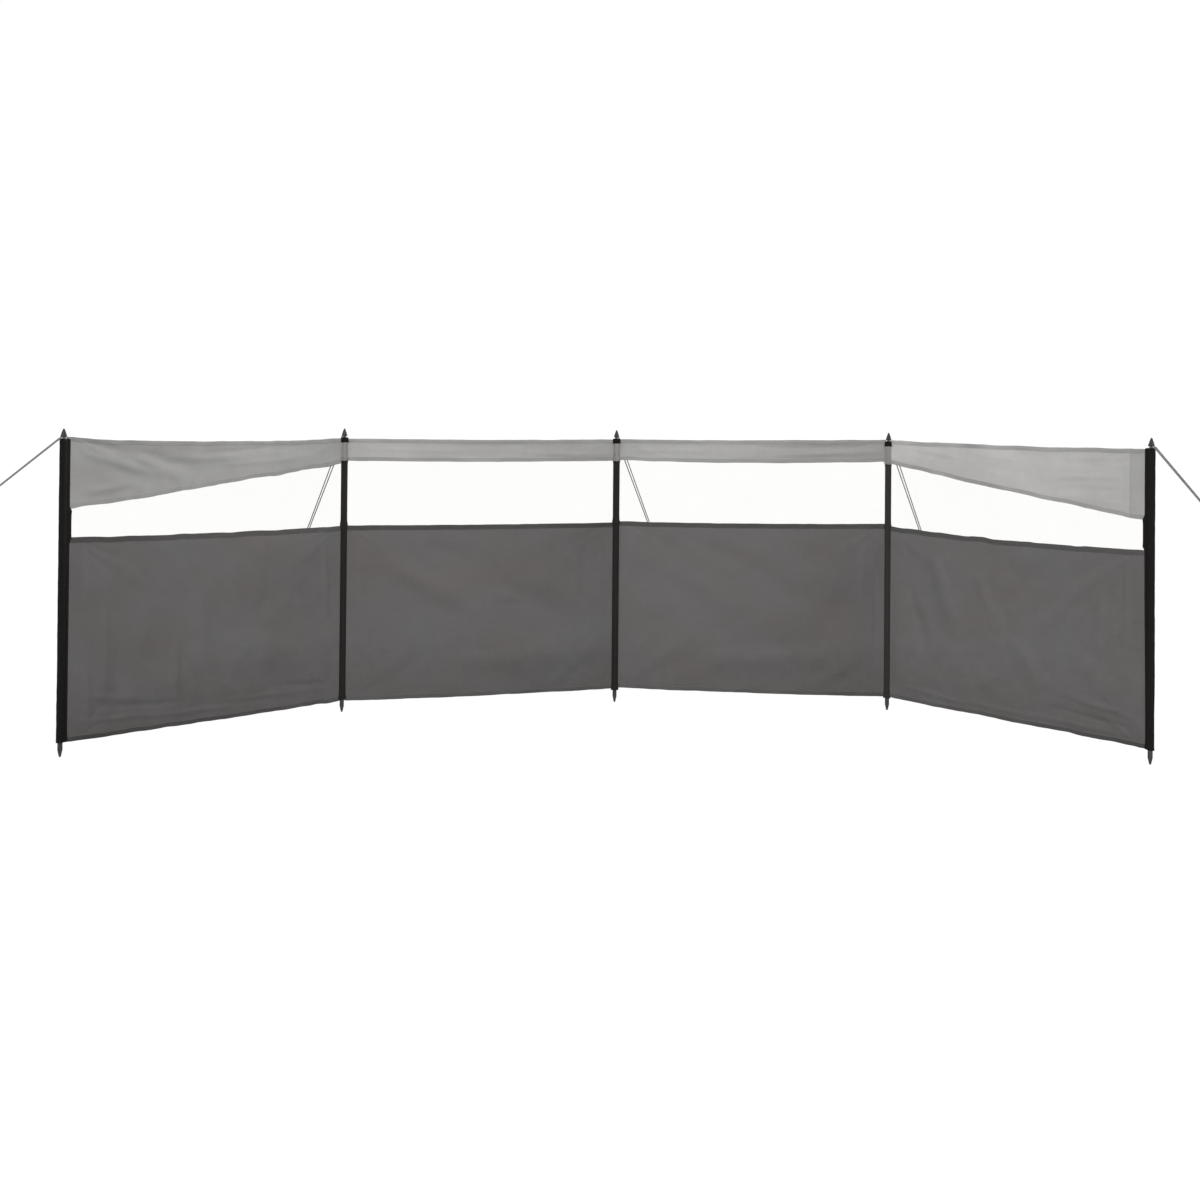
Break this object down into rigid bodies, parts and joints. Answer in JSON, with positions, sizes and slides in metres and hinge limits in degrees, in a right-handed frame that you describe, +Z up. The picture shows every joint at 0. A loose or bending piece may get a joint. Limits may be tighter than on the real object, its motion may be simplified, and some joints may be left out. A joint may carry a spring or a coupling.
{
  "type": "beach windbreak",
  "caption": "Grey cloth windbreak in bays between upright pointed poles, with a clear window strip under a lighter top band, pitched in a curve and held by guy lines and pegs.",
  "frame": {"origin": "on the blunt end of the middle pole's point, at ground level", "axes": "+X along the windbreak to the right seen from its hollow front side, +Y to the back, +Z up"},
  "size_m": [6.1379, 3.0613, 1.266],
  "materials": {
    "galvanised_steel": "dull dark zinc",
    "black_plastic": "matt moulded",
    "black_cloth": "matt woven",
    "dark_cloth": "matt coated weave",
    "clear_film": "clear flexible film",
    "light_cloth": "matt coated weave, slightly translucent",
    "guy_cord": "braided",
    "peg_steel": "bright zinc"
  },
  "bodies": {
    "root": {"left_end_pole": "galvanised_steel", "left_inner_pole": "galvanised_steel", "middle_pole": "galvanised_steel", "right_inner_pole": "galvanised_steel", "right_end_pole": "galvanised_steel", "left_end_pin": "black_plastic", "left_inner_pin": "black_plastic", "middle_pin": "black_plastic", "right_inner_pin": "black_plastic", "right_end_pin": "black_plastic", "left_end_sleeve": "black_cloth", "left_inner_sleeve": "black_cloth", "middle_sleeve": "black_cloth", "right_inner_sleeve": "black_cloth", "right_end_sleeve": "black_cloth", "left_end_panel": "dark_cloth", "left_mid_panel": "dark_cloth", "right_mid_panel": "dark_cloth", "right_end_panel": "dark_cloth", "left_end_window": "clear_film", "left_mid_window": "clear_film", "right_mid_window": "clear_film", "right_end_window": "clear_film", "left_end_band": "light_cloth", "left_mid_band": "light_cloth", "right_mid_band": "light_cloth", "right_end_band": "light_cloth", "left_end_guy": "guy_cord", "left_inner_guy": "guy_cord", "middle_guy": "guy_cord", "right_inner_guy": "guy_cord", "right_end_guy": "guy_cord", "left_end_runner": "black_plastic", "left_inner_runner": "black_plastic", "middle_runner": "black_plastic", "right_inner_runner": "black_plastic", "right_end_runner": "black_plastic", "left_end_peg": "peg_steel", "left_inner_peg": "peg_steel", "middle_peg": "peg_steel", "right_inner_peg": "peg_steel", "right_end_peg": "peg_steel"}
  },
  "joints": []
}
